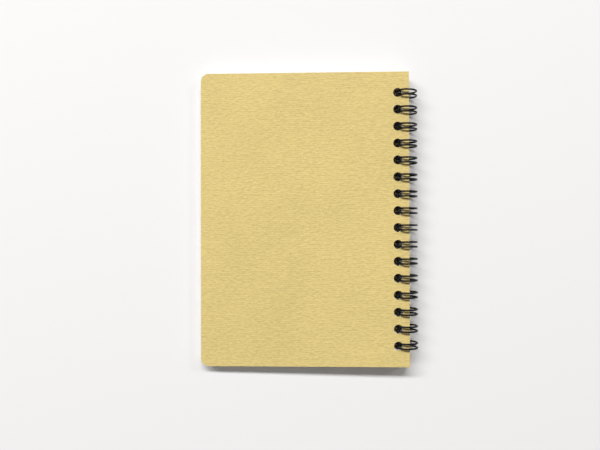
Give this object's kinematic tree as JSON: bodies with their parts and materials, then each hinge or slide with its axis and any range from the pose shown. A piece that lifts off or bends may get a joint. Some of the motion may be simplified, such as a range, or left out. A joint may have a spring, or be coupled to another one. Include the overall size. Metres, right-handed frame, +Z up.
{
  "type": "twin-loop wire-bound notebook",
  "caption": "Pocket notebook with a ribbed kraft card cover, bound along its long side by closed twin loops of black wire.",
  "frame": {"origin": "on the table, under the middle of the whole notebook's box", "axes": "+X towards the bound edge, +Y towards the head of the sheets, +Z up, out of the back cover"},
  "size_m": [0.1096, 0.148, 0.0114],
  "materials": {
    "kraft_card": "ribbed matte",
    "page_paper": "matte",
    "black_wire": "satin"
  },
  "bodies": {
    "book": {"page_block": "page_paper", "twin_loop_wire": "black_wire"},
    "back_cover": {"back_cover": "kraft_card"},
    "front_cover": {"front_cover": "kraft_card"}
  },
  "joints": [
    {"name": "back_cover_turn", "type": "hinge", "parent": "book", "child": "back_cover", "pos_m": [0.04882, 0, 0.00526], "axis": [0, 1, 0], "range_deg": [0, 180]},
    {"name": "front_cover_turn", "type": "hinge", "parent": "book", "child": "front_cover", "pos_m": [0.0488, 0, 0.00616], "axis": [0, -1, 0], "range_deg": [0, 180]}
  ]
}
